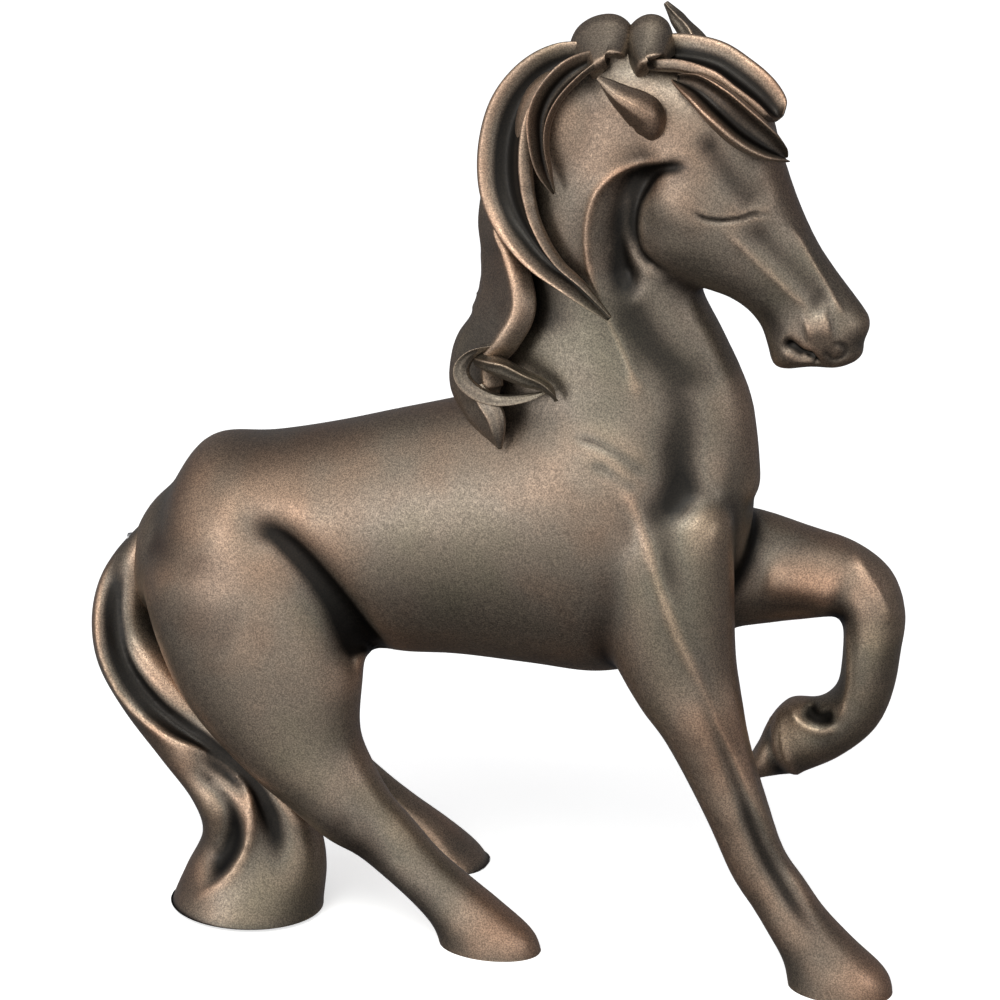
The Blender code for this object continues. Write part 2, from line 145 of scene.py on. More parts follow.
TAIL = [
    (-108, 109, -98, 116, 1, 5),
    (-115, 101, -100, 106, -1, 7),
    (-120, 91.5, -104, 94, -3, 8.5),
    (-121, 81, -104, 81.5, -6, 10),
    (-118.5, 68.5, -97, 74, -8, 11),
    (-110.5, 55.5, -84, 63.5, -9, 12),
    (-99, 43.5, -68, 50, -11, 13),
    (-89, 32.5, -56.5, 38, -12, 14),
    (-86, 22, -51, 25, -12, 14),
    (-91, 10.5, -49, 14, -13, 16.5),
    (-95, 0, -50, 2, -14, 19),
    (-95, -9, -50, -8, -14, 19),
]

RIGHT_EAR = [
    ((44, -12.5, 236.5), (46.5, -12.5, 237.5), 2),
    ((41.5, -13, 238), (49, -13, 241), 7),
    ((40, -13.5, 240), (48.5, -14, 246.5), 9),
    ((38.5, -14, 242), (45, -15, 249.5), 9),
    ((36, -14.5, 245.5), (40.5, -16, 251), 7.5),
    ((33.5, -15, 249.5), (36, -16.5, 252.5), 5),
    ((31.5, -16, 253), (32, -16.5, 253.5), 1.5),
]

LEFT_EAR = [
    ((46, 9, 246), (59, 12, 246), 9),
    ((45, 11.5, 258), (54, 14, 256), 7),
    ((41.5, 13, 264), (48, 15, 262), 4.5),
    ((40.5, 14, 267), (42, 14, 267.5), 1.5),
]

FORELOCK_UPPER = [
    ((34, 2, 254.5), (40.5, -7, 255.5), 6),
    ((39.5, 2, 257.5), (46.5, -9, 255.5), 8),
    ((48.5, 2, 259), (55, -11, 255.5), 8.5),
    ((58, 1.5, 258.5), (62, -13, 253.5), 8.5),
    ((65, 0.5, 255.5), (68.5, -14, 249.5), 8.5),
    ((71.5, -1, 251.5), (73.5, -14, 246), 8),
    ((76.5, -3, 247), (76.5, -13, 243.5), 6),
    ((78.5, -7, 245), (78, -10, 243), 2),
]

FORELOCK_LOWER = [
    ((51, -10, 254), (52, -13, 251.5), 4),
    ((58.5, -13, 255.5), (57, -16, 248), 7),
    ((66, -15, 253), (62.5, -18, 243), 8),
    ((72.5, -15, 248), (68.5, -18, 238), 8),
    ((77.5, -14, 243), (75, -16, 234.5), 7),
    ((80, -11, 237.5), (79.5, -13, 233.5), 5),
    ((80.5, -8, 234), (80, -9, 233.5), 1.5),
]

POLL_CURL_REAR = [
    ((20, -1, 253), (30, -7, 252), 6),
    ((20, -1, 258), (31, -9, 253), 8),
    ((22, -1, 262.5), (32, -10, 254), 9),
    ((26, -1, 265.5), (33, -10, 254.5), 9),
    ((31, -1, 266.5), (34, -10, 255), 8.5),
    ((34.5, -1, 264.5), (35, -10, 255), 7),
    ((36, -2, 260), (36, -8, 255), 4),
]

POLL_CURL_FRONT = [
    ((34, -1, 254), (42, -7, 252.5), 5),
    ((34.5, -1, 259), (43, -9, 253.5), 7.5),
    ((36.5, -1, 264), (44, -10, 254.5), 8.5),
    ((40, -1, 267), (45, -10, 255), 8.5),
    ((43.5, -1, 266.5), (46, -10, 255), 7.5),
    ((46, -1, 263), (46.8, -9, 255), 6),
    ((47.5, -2, 258.5), (47.5, -8, 255), 3.5),
]

MANE_LOCK_LONG = [
    ((26, -3, 256.5), (30, -9, 255.5), 5),
    ((16.5, -2, 255), (23.5, -11, 252.5), 7),
    ((8, -1, 250), (18.5, -12, 247.5), 8),
    ((1, -1, 241), (14.5, -13, 241), 8.5),
    ((-2.5, -1, 230), (13, -14, 232), 8.5),
    ((-2.5, -2, 219), (13.5, -14.5, 222.5), 8.5),
    ((1, -5, 211.5), (16, -15.5, 214.5), 8),
    ((7, -9, 206), (20, -16.5, 207), 7.5),
    ((14, -12, 201), (24.5, -17, 201.5), 6.5),
    ((24, -15, 195.5), (30.5, -17.5, 196.5), 5),
    ((35, -16, 188), (36.5, -16.5, 189), 1.5),
]

MANE_LOCK_INNER = [
    ((27, -8, 256.5), (31, -11, 255.5), 4),
    ((21, -11, 254.5), (26, -14, 251), 6),
    ((16, -13, 249), (21.5, -15.5, 245.5), 6.5),
    ((13.5, -14, 242), (19, -16, 239.5), 6.5),
    ((14, -15, 234), (18.5, -16, 233), 6),
    ((15.5, -15, 227.5), (19.5, -15.5, 226.5), 4.5),
    ((19.5, -14.5, 220.5), (20, -14.5, 221), 1.5),
]

MANE_LOCK_REAR = [
    ((-4, -2, 220), (2.5, -4, 217.5), 6),
    ((-5.5, 0, 209.5), (6, -8, 206.5), 9),
    ((-5, 0, 200.5), (9.5, -10, 201), 9.5),
    ((-5, 0, 193), (13, -13, 194), 10),
    ((-6, -1, 186), (14.5, -15, 188), 10.5),
    ((-9, -2, 179), (12, -16, 182), 10.5),
    ((-11.5, -3, 173), (7.5, -15, 176.5), 10),
    ((-12.5, -4, 167), (5.5, -14, 171.5), 9.5),
    ((-12, -5, 161), (5, -14, 167), 9),
    ((-8.5, -7, 156.5), (4.5, -14, 163), 7.5),
    ((-4.5, -10, 153.5), (4.5, -15.5, 159.5), 5.5),
    ((0, -13, 151), (5, -16.5, 155.5), 4),
    ((5, -16, 148.5), (5.5, -17, 150), 1.5),
]

MANE_LOCK_CURL = [
    ((3.5, -17, 179.5), (4, -17, 177.5), 3),
    ((-2, -18, 177), (-0.5, -19, 175.5), 5),
    ((-5.5, -18, 172), (-3, -20, 172), 6),
    ((-5, -18, 167), (-2, -20, 169), 6),
    ((-0.5, -18, 163.5), (1.5, -20, 166.5), 5.5),
    ((6, -18, 162.5), (6.5, -19.5, 165), 4.5),
    ((13, -18, 164), (13.5, -19, 166), 3.5),
    ((19, -18, 166.5), (19, -18, 167.5), 1.5),
]

MANE_LOCK_FINGER = [
    ((-1, -16, 176), (-1.5, -17, 172), 4),
    ((3.5, -17, 176), (3, -19, 171), 7),
    ((8, -17, 174.5), (7.5, -20, 170), 8),
    ((13, -17.5, 172.5), (12.5, -20, 168.5), 7),
    ((17.5, -17.5, 171), (17, -19, 167.5), 5.5),
    ((20.5, -17.5, 168.5), (19.5, -18.5, 166), 4),
    ((21.5, -17.5, 164.5), (21.5, -18, 164.5), 1.5),
]

MANE_LOCK_TIP = [
    ((-2.5, -15, 165), (1, -18, 167), 4),
    ((-0.5, -16, 161.5), (4, -19.5, 164.5), 6),
    ((2, -17, 158), (7, -20, 161), 6.5),
    ((4, -18, 154), (7.5, -20, 156.5), 5),
    ((6, -18.5, 149.5), (6.5, -19, 150), 1.5),
]


# Muscle masses added to the limbs: centre, half-sizes and tilt in the side view in degrees.
MASSES = [
    ((56, -6, 219), (15, 10.5, 18), 35),      # right cheek
    ((56, 6, 219), (15, 10.5, 18), 35),       # left cheek
    ((19, -3, 234), (15, 9, 20), 0),          # crest of the neck, under the mane
    ((33, -2, 252), (15, 6, 10), 0),          # poll
    ((9.5, -1, 222), (8.5, 4, 24), -8),       # crest behind the long lock
    ((4, -1, 190), (5, 3.5, 22), 8),          # crest behind the rear lock
]

# Chased lines on the skin: points (x, z) in the side view, half-width, depth (minus raises), form, side.
NEAR, FAR = -1, 1
STROKES = [
    # thigh and flank
    ([(-76, 123), (-69, 122), (-61, 119), (-53.5, 114), (-46.5, 106.5), (-40.5, 97.5), (-37, 88), (-33, 74)],
     7.0, 2.8, "valley", NEAR),
    ([(-66, 121.5), (-56, 116), (-47, 107.5), (-40.5, 97.5), (-36.5, 88), (-33, 76)], 3.4, 1.2, "valley", NEAR),
    # neck, shoulder and chest
    ([(38, 221), (36, 213), (35.5, 205), (37, 197), (40.5, 188), (45, 180.5), (50.5, 173.5), (54, 166), (55, 158),
      (55, 150), (55.5, 141), (54.5, 132), (54.5, 122), (56, 108)], 7.0, 1.7, "valley", NEAR),
    ([(30.5, 193), (36.5, 182), (40.5, 174), (43.5, 165)], 1.8, -0.8, "cusp", NEAR),
    ([(34, 155), (42, 142.5), (48, 130), (53, 117), (58.5, 103), (65.5, 88), (73, 69), (83, 46)], 2.2, -1.1, "cusp", NEAR),
    ([(25, 155.5), (34, 154), (42, 150), (48, 145)], 1.5, 0.5, "valley", NEAR),
    ([(31, 149), (38, 147), (45, 141.5)], 1.5, 0.45, "valley", NEAR),
    # planted foreleg
    ([(62, 100), (71.7, 70), (76.5, 55), (82, 40.5), (91, 26), (100, 15)], 2.4, 1.0, "valley", NEAR),
    ([(69, 96), (75.5, 73), (80, 57), (85.5, 42.5), (94.5, 28), (103.5, 17)], 1.8, -0.8, "cusp", NEAR),
    # cheek crescent and the ridge behind it
    ([(50, 231), (43, 228), (38, 221.5), (36, 214), (35.8, 206), (38, 198), (42, 192)], 4.4, 3.0, "valley", NEAR),
    ([(58, 231.5), (48, 229.5), (42.5, 223.5), (40.2, 216), (40.5, 209), (43.5, 203.5), (52, 199.5)], 1.7, 1.3, "valley", NEAR),
    ([(54, 232), (45, 231), (37, 228), (31, 222), (28.4, 214), (28, 205.5), (29.5, 197), (33, 189)], 1.7, -1.4, "cusp", NEAR),
    # eye, brow and the planes of the face
    ([(56.6, 219.9), (60.5, 217.8), (65, 217.3), (70, 218), (73.5, 219.2), (77.5, 218.4)], 0.6, 0.65, "valley", NEAR),
    ([(58, 241), (62, 235), (67, 228.5), (71, 224), (76, 219.5)], 3.6, 1.2, "valley", NEAR),
    ([(64, 215.5), (68.5, 212.5), (76.5, 205), (84.5, 197.5), (90, 193.5)], 2.2, -0.7, "cusp", NEAR),
    ([(70, 219), (80, 209), (88, 200.5), (94.5, 193)], 3.2, 1.0, "valley", NEAR),
    ([(81, 217), (84.8, 211), (88.8, 204.5), (93.2, 198), (98, 191.5)], 1.3, -0.8, "cusp", NEAR),
    # nostril and mouth
    ([(86.5, 189), (90.5, 190), (94.5, 191)], 3.4, -0.9, "valley", NEAR),
    ([(94, 184.7), (96.4, 185.2), (97.8, 183.4), (97, 181.4), (94.6, 180.8), (93, 182.6), (93.4, 184.4)], 0.8, 0.45, "valley", NEAR),
    ([(81, 185), (84, 183.5), (87, 181.6), (89.5, 182.5)], 1.5, 2.6, "valley", NEAR),
    ([(88, 183), (90.8, 179)], 0.9, 1.4, "valley", NEAR),
    # raised foreleg and its folded hoof
    ([(72, 111), (84, 109.5), (95, 106)], 5.0, -1.3, "valley", NEAR),
    ([(95.5, 119), (103.5, 109.2), (109, 98.5)], 1.6, -1.0, "cusp", NEAR),
    ([(95.5, 100), (96.7, 90.5), (97, 79), (94.5, 68)], 1.4, -0.8, "cusp", NEAR),
    ([(78.5, 71.5), (83.5, 67.3), (89.5, 65.4), (95.5, 68.2)], 1.4, -0.8, "cusp", NEAR),
    ([(83.5, 71.5), (88.5, 69.3), (93.5, 71)], 2.0, 1.2, "valley", NEAR),
]

# Lines of painted shade, darkening the skin where it lies in shade: points (x, z), half-width, strength.
PAINTED_SHADE = [
    ([(58, 231), (47, 229), (41, 222.5), (38, 215), (37.5, 207), (38, 199)], 3.0, 0.42),
    ([(37, 206), (38.5, 194), (43, 184), (50, 176), (57, 171.5), (64, 168)], 5.5, 0.34),
    ([(44, 184), (52, 172), (55, 161), (54, 152), (55.5, 144), (55, 135), (57, 122), (62, 104)], 7.5, 0.2),
    ([(-90, 104), (-80, 96), (-66, 90)], 15.0, 0.26),
    ([(-47, 38), (-32, 28), (-16, 18), (-4, 10)], 11.0, 0.5),
    ([(74, 58), (84, 38), (94, 20), (104, 8)], 11.0, 0.42),
    ([(102, 96), (101, 82), (97, 68), (86, 60)], 8.0, 0.38),
    ([(15, 206), (14, 192), (18, 180)], 9.0, 0.4),
    ([(46, 140), (51, 128), (56, 116), (61, 104), (68, 86)], 3.5, 0.14),
    ([(-62, 120), (-50, 111), (-42, 101), (-37.5, 90), (-34, 78)], 4.0, 0.1),
    ([(58, 242), (62, 236), (67, 229.5), (73, 223)], 5.0, 0.16),
    ([(70, 218), (80, 209), (88, 201), (95, 193.5)], 3.2, 0.12),
    ([(71, 122), (84, 119.5), (97, 116)], 2.6, 0.25),
    ([(70, 103), (84, 102), (93, 100)], 2.2, 0.2),
    ([(74, 196), (80, 187), (82.5, 181), (88, 178), (92, 180)], 3.0, 0.22),
]
# Painted shade along the tail's deep channel.
TAIL_PAINTED_SHADE = [
    ([(-107, 112), (-112, 96), (-112, 83), (-108, 71.5), (-99.5, 62), (-87, 54.5), (-75, 48), (-66, 40), (-60, 28)],
     4.6, 0.62),
]

# The S-shaped tail: its sharp crest, the channels beside it and its far rim.
TAIL_STROKES = [
    ([(-109, 106), (-112, 92), (-111, 81.5), (-106.5, 71), (-98, 61.5), (-86, 54), (-74, 47), (-64, 38), (-59, 27),
      (-57, 12)], 4.2, 3.8, "valley", NEAR),
    ([(-89, 48), (-77, 40), (-73, 31), (-75.5, 20.5), (-84, 12)], 4.6, 3.2, "valley", NEAR),
    ([(-108.5, 108), (-112.5, 103), (-116.5, 93.5), (-116.5, 83.5), (-113.5, 72.5), (-106, 61), (-94, 53), (-82, 48.3),
      (-72, 42), (-67.3, 34), (-67, 25), (-70.5, 17), (-77.5, 10.5), (-88, 4)], 2.0, -2.6, "cusp", NEAR),
    ([(-86, 59), (-72, 48), (-61, 38), (-51, 26)], 1.6, -1.0, "cusp", NEAR),
]

# Height across a lock, from its first edge (-1) to its second (1).
PLAIN = [(-1, 0), (-0.85, 0.5), (-0.5, 0.87), (0, 1), (0.5, 0.87), (0.85, 0.5), (1, 0)]
CHANNEL = [(-1, 0), (-0.93, 0.45), (-0.8, 0.85), (-0.64, 0.98), (-0.5, 0.8), (-0.36, 0.2), (-0.2, -0.15), (0.3, -0.15),
           (0.6, 0.05), (0.84, 0.5), (0.94, 0.35), (1, 0)]
TURNED = [(-u, h) for u, h in reversed(CHANNEL)]
BROAD = [(-1, 0), (-0.92, 0.35), (-0.6, 0.62), (0, 0.78), (0.55, 0.92), (0.84, 1), (0.95, 0.75), (1, 0)]
RIDGED = [(-1, 0), (-0.8, 0.4), (-0.35, 0.66), (0, 1), (0.35, 0.66), (0.8, 0.4), (1, 0)]
LEAF = [(-1, 0), (-0.85, 0.42), (-0.4, 0.72), (0.1, 1), (0.5, 0.92), (0.8, 0.6), (1, 0)]

# name: stations, height profile, thickness factor, way out
HAIR = {
    "right_ear": (RIGHT_EAR, LEAF, 1.1, (-0.2, -1, 0.3)),
    "left_ear": (LEFT_EAR, RIDGED, 1.0, (0.2, -1, 0.2)),
    "forelock_lower": (FORELOCK_LOWER, TURNED, 1.2, (0.2, -1, 0.3)),
    "forelock_upper": (FORELOCK_UPPER, CHANNEL, 1.2, (0.2, -1, 0.5)),
    "poll_curl_front": (POLL_CURL_FRONT, BROAD, 0.8, (0, -1, 0.2)),
    "poll_curl_rear": (POLL_CURL_REAR, BROAD, 0.8, (0, -1, 0.2)),
    "mane_lock_inner": (MANE_LOCK_INNER, CHANNEL, 1.3, (0, -1, 0)),
    "mane_lock_long": (MANE_LOCK_LONG, CHANNEL, 1.4, (-0.3, -1, 0)),
    "mane_lock_rear": (MANE_LOCK_REAR, BROAD, 1.1, (-0.3, -1, 0)),
    "mane_lock_curl": (MANE_LOCK_CURL, RIDGED, 1.1, (0, -1, 0)),
    "mane_lock_finger": (MANE_LOCK_FINGER, RIDGED, 1.1, (0, -1, 0.2)),
    "mane_lock_tip": (MANE_LOCK_TIP, RIDGED, 1.1, (0, -1, 0)),
}


def smooth_rows(rows, steps):
    """Rows of numbers with smooth rows between them, every given row kept."""
    out = []
    for i in range(len(rows) - 1):
        a, b, c, d = (np.array(rows[min(max(k, 0), len(rows) - 1)], float) for k in (i - 1, i, i + 1, i + 2))
        for step in range(steps):
            t = step / steps
            out.append(0.5 * (2 * b + (c - a) * t + (2 * a - 5 * b + 4 * c - d) * t**2 + (3 * b - a - 3 * c + d) * t**3))
    out.append(np.array(rows[-1], float))
    return out


def unit(vectors):
    return vectors / np.maximum(np.linalg.norm(vectors, axis=-1, keepdims=True), 1e-12)


def tube(rings):
    """Points and faces of a closed tube through rings of equal length, with a fan at each end."""
    count = len(rings[0])
    points = np.concatenate([*rings, [np.mean(rings[0], axis=0), np.mean(rings[-1], axis=0)]])
    faces = []
    for i in range(len(rings) - 1):
        for k in range(count):
            n = (k + 1) % count
            faces.append((i * count + k, i * count + n, (i + 1) * count + n, (i + 1) * count + k))
    last = (len(rings) - 1) * count
    for k in range(count):
        n = (k + 1) % count
        faces.append((len(points) - 2, n, k))
        faces.append((len(points) - 1, last + k, last + n))
    return points, faces


def limb(stations, steps=8, count=48):
    rows = smooth_rows(stations, steps)
    turn = np.linspace(0, 2 * math.pi, count, endpoint=False)[:, None]
    centres = [np.array([(r[0] + r[2]) / 2, r[4], (r[1] + r[3]) / 2]) for r in rows]
    axes = [(np.array([(r[0] - r[2]) / 2, 0, (r[1] - r[3]) / 2]), np.array([0, r[5], 0])) for r in rows]
    rings = []
    domes = [(0.45, 0.9), (0.72, 0.7), (0.9, 0.42)]
    start = unit(centres[0] - centres[1]) * axes[0][1][1] * 0.9
    end = unit(centres[-1] - centres[-2]) * axes[-1][1][1] * 0.9
    ends = [(centres[0] + start * k, axes[0], s) for s, k in domes]
    ends_last = [(centres[-1] + end * k, axes[-1], s) for s, k in reversed(domes)]
    for centre, (long_axis, short_axis), scale in ends + [(c, a, 1) for c, a in zip(centres, axes)] + ends_last:
        rings.append(centre + scale * (np.cos(turn) * long_axis + np.sin(turn) * short_axis))
    return tube(rings)


def ellipsoid(centre, half, tilt):
    turn = np.linspace(0, 2 * math.pi, 32, endpoint=False)[:, None]
    c, s = math.cos(math.radians(tilt)), math.sin(math.radians(tilt))
    frame_axes = np.array([[c, 0, s], [0, 1, 0], [-s, 0, c]])
    rings = []
    for lat in np.linspace(-85, 85, 18):
        a = math.radians(lat)
        ring = np.concatenate([np.cos(turn) * math.cos(a), np.sin(turn) * math.cos(a), 0 * turn + math.sin(a)], axis=1)
        rings.append(np.array(centre) + (ring * np.array(half)) @ frame_axes)
    return tube(rings)


def lock(stations, profile, thicken, outward, steps=10, half_count=22):
    rows = smooth_rows([[*a, *b, t] for a, b, t in stations], steps)
    centres = np.array([(r[:3] + r[3:6]) / 2 for r in rows])
    across = np.array([(r[3:6] - r[:3]) / 2 for r in rows])
    along = unit(np.gradient(centres, axis=0))
    across -= along * (across * along).sum(1, keepdims=True)
    up = unit(np.cross(along, across))
    up *= np.sign(up @ np.array(outward))[:, None]
    u = np.cos(np.linspace(math.pi, 0, half_count))
    top = np.interp(u, [p[0] for p in profile], [p[1] for p in profile])
    low = -0.6 * np.sqrt(np.maximum(1 - u**2, 0))
    u_all = np.concatenate([u, u[-2:0:-1]])
    h_all = np.concatenate([top, low[-2:0:-1]])
    rings = [
        centres[i] + u_all[:, None] * across[i] + h_all[:, None] * up[i] * rows[i][6] * thicken / 2
        for i in range(len(rows))
    ]
    return tube(rings)


def make_object(name, points, faces):
    data = bpy.data.meshes.new(name)
    data.from_pydata((points + TO_ORIGIN) * MM, [], faces)
    obj = bpy.data.objects.new(name, data)
    bpy.context.scene.collection.objects.link(obj)
    mesh = bmesh.new()
    mesh.from_mesh(data)
    bmesh.ops.recalc_face_normals(mesh, faces=mesh.faces)
    if mesh.calc_volume(signed=True) < 0:
        bmesh.ops.reverse_faces(mesh, faces=mesh.faces)
    mesh.to_mesh(data)
    mesh.free()
    data.shade_smooth()
    return obj


def bake(obj, *modifiers):
    for kind, settings in modifiers:
        modifier = obj.modifiers.new(kind.lower(), kind)
        for key, value in settings.items():
            setattr(modifier, key, value)
    data = bpy.data.meshes.new_from_object(obj.evaluated_get(bpy.context.evaluated_depsgraph_get()))
    obj.modifiers.clear()
    obj.data = data


def get_points(obj):
    points = np.empty(len(obj.data.vertices) * 3)
    obj.data.vertices.foreach_get("co", points)
    return points.reshape(-1, 3) / MM - TO_ORIGIN


def set_points(obj, points):
    obj.data.vertices.foreach_set("co", ((points + TO_ORIGIN) * MM).ravel())
    obj.data.update()


def get_normals(obj):
    normals = np.empty(len(obj.data.vertices) * 3)
    obj.data.vertex_normals.foreach_get("vector", normals)
    return normals.reshape(-1, 3)


def get_edges(obj):
    edges = np.empty(len(obj.data.edges) * 2, int)
    obj.data.edges.foreach_get("vertices", edges)
    return edges.reshape(-1, 2)


def relax(values, edges, rounds, amount=0.6):
    """Values on the vertices, each moved towards the mean of its neighbours."""
    count = len(values)
    a = np.concatenate([edges[:, 0], edges[:, 1]])
    b = np.concatenate([edges[:, 1], edges[:, 0]])
    degree = np.maximum(np.bincount(a, minlength=count), 1)
    flat = values.ndim == 1
    values = values.reshape(count, -1).copy()
    for _ in range(rounds):
        for c in range(values.shape[1]):
            mean = np.bincount(a, weights=values[b, c], minlength=count) / degree
            values[:, c] += amount * (mean - values[:, c])
    return values.ravel() if flat else values


def smoothstep(low, high, x):
    t = np.clip((x - low) / (high - low), 0, 1)
    return t * t * (3 - 2 * t)


def chase(points, normals, line, width, depth, form, side):
    """Presses one line into the skin, or raises it, on the side of the body that faces that way."""
    spots = np.array(line)
    low, high = spots.min(0) - 3 * width, spots.max(0) + 3 * width
    near = np.flatnonzero(
        (side * normals[:, 1] > 0.05)
        & (points[:, 0] > low[0]) & (points[:, 0] < high[0])
        & (points[:, 2] > low[1]) & (points[:, 2] < high[1])
    )
    if not len(near):
        return
    best, share = along(points[near][:, [0, 2]], line)
    form_at = np.exp(-(best / width) ** 2) if form == "valley" else np.exp(-best / width * 1.4)
    fade = smoothstep(0, 0.24, share) * smoothstep(0, 0.2, 1 - share)
    facing = smoothstep(0.08, 0.4, side * normals[near, 1])
    points[near] -= normals[near] * (depth * form_at * fade * facing)[:, None]


def chase_all(obj, strokes):
    for line, width, depth, form, side in strokes:
        points = get_points(obj)
        chase(points, get_normals(obj), line, width, depth, form, side)
        set_points(obj, points)


def along(points, line):
    """Distance of each point from the line in the side view, and its share of the way along it."""
    path = np.array(smooth_rows(line, 6))
    steps = np.linalg.norm(np.diff(path, axis=0), axis=1)
    reached = np.concatenate([[0], np.cumsum(steps)])
    best, share = np.full(len(points), 1e9), np.zeros(len(points))
    for i, (a, b) in enumerate(zip(path, path[1:])):
        t = np.clip(((points - a) @ (b - a)) / max(steps[i] ** 2, 1e-9), 0, 1)
        distance = np.linalg.norm(points - (a + t[:, None] * (b - a)), axis=1)
        closer = distance < best
        best[closer] = distance[closer]
        share[closer] = (reached[i] + t[closer] * steps[i]) / reached[-1]
    return best, share


# Painted shade: darkening along the given lines on the near side of the skin.
def shade_along_lines(obj, shade_lines):
    points, normals = get_points(obj), get_normals(obj)
    total = np.zeros(len(points))
    near = np.flatnonzero(normals[:, 1] < 0.1)
    for line, width, strength in shade_lines:
        best, share = along(points[near][:, [0, 2]], line)
        fade = smoothstep(-0.1, 0.2, share) * smoothstep(-0.1, 0.2, 1 - share)
        facing = smoothstep(0.1, -0.25, normals[near, 1])
        total[near] = np.maximum(total[near], strength * np.exp(-(best / width) ** 2) * fade * facing)
    return total


def mark_patina_and_shade(obj, fine=8, coarse=60, shade_lines=(), depth=1.0):
    """Stores how far each point stands above (crest) or below (hollow) the skin around it, with the painted shade lines
    added; the bronze darkens with it, as dark patina together with painted shade in the hollows.
    """
    points, normals, edges = get_points(obj), get_normals(obj), get_edges(obj)
    small = ((relax(points, edges, fine) - points) * normals).sum(1)
    large = ((relax(points, edges, coarse) - points) * normals).sum(1)
    value = relax(np.clip(small * 1.3 + large * 0.6, -1, 1), edges, 3)
    # The painted shade lines are added here, so they darken the colour like the hollows do.
    value = np.where(value > 0, value * depth, value) + shade_along_lines(obj, shade_lines)
    attribute = obj.data.attributes.new("hollow", "FLOAT", "POINT")
    attribute.data.foreach_set("value", value.astype(np.float32))


def merged(parts):
    points, faces, base = [], [], 0
    for some_points, some_faces in parts:
        points.append(some_points)
        faces += [tuple(base + k for k in face) for face in some_faces]
        base += len(some_points)
    return np.concatenate(points), faces


def body_skin():
    limbs = [TORSO, NECK, HEAD, RIGHT_FORELEG, LEFT_FORELEG, RIGHT_HIND_LEG, LEFT_HIND_LEG]
    parts = [limb(rows) for rows in limbs] + [ellipsoid(*mass) for mass in MASSES]
    skin = make_object("skin", *merged(parts))
    bake(skin, ("REMESH", dict(mode="VOXEL", voxel_size=1.6 * MM)), ("SMOOTH", dict(factor=0.6, iterations=9)))
    bake(skin, ("REMESH", dict(mode="VOXEL", voxel_size=0.9 * MM)), ("SMOOTH", dict(factor=0.5, iterations=4)))
    refine_head(skin)
    points, edges = get_points(skin), get_edges(skin)
    trunk = smoothstep(80, 100, points[:, 2]) * smoothstep(70, 60, points[:, 0])
    trunk *= 1 - smoothstep(24, 36, points[:, 0]) * smoothstep(185, 200, points[:, 2])
    points += trunk[:, None] * (relax(points, edges, 45) - points)
    points[:, 2] = np.maximum(points[:, 2], 0.0)
    set_points(skin, points)
    chase_all(skin, STROKES)
    set_points(skin, relax(get_points(skin), edges, 2, 0.35))
    mark_patina_and_shade(skin, shade_lines=PAINTED_SHADE)
    return skin


def refine_head(skin):
    mesh = bmesh.new()
    mesh.from_mesh(skin.data)
    low = (np.array([26, -99, 172]) + TO_ORIGIN) * MM
    head = [e for e in mesh.edges if all(v.co.x > low[0] and v.co.z > low[2] for v in e.verts)]
    bmesh.ops.subdivide_edges(mesh, edges=head, cuts=1, use_grid_fill=True, smooth=0.6)
    bmesh.ops.triangulate(mesh, faces=[f for f in mesh.faces if len(f.verts) > 4])
    mesh.to_mesh(skin.data)
    mesh.free()
    skin.data.shade_smooth()


# A joint: a line (x, z) through two points in the side view, and the region where it parts the skin.
def above(points, a, b):
    """Signed distance from the line a to b in the side view, positive above it."""
    (ax, az), (bx, bz) = a, b
    size = math.hypot(bx - ax, bz - az)
    return ((points[:, 2] - az) * (bx - ax) - (points[:, 0] - ax) * (bz - az)) / size


def regions(points):
    """The casting that each point belongs to."""
    x, y, z = points.T
    head_back = -above(points, (33, 206), (30, 270))
    head_low = above(points, (33, 206), (64, 187))
    neck = above(points, (-16, 164), (84, 149.5))
    fore = above(points, (41, 78), (78, 102.5))
    raised = -above(points, (74, 84), (76, 142))
    hind = above(points, (-112, 50), (-24, 76))
    out = np.full(len(points), 0)
    out[neck > 0] = 1
    out[(neck > 0) & (((head_back > 0) & (z >= 206)) | ((head_low > 0) & (z < 206) & (x > 33)))] = 2
    out[(fore < 0) & (x > 38) & (y < 4) & (z < 103)] = 3
    out[(raised > 0) & (y > -3) & (z < 142) & (x > 66)] = 4
    out[(fore < 0) & (z < 75) & (x > 60) & (y > 4)] = 4
    out[(hind < 0) & (x < -20) & (y < 4.5)] = 5
    out[(hind < 0) & (x < -20) & (y >= 4.5)] = 6
    return out


CASTINGS = [
    "torso_casting", "neck_casting", "head_casting", "right_foreleg", "left_foreleg", "right_hind_leg", "left_hind_leg",
]


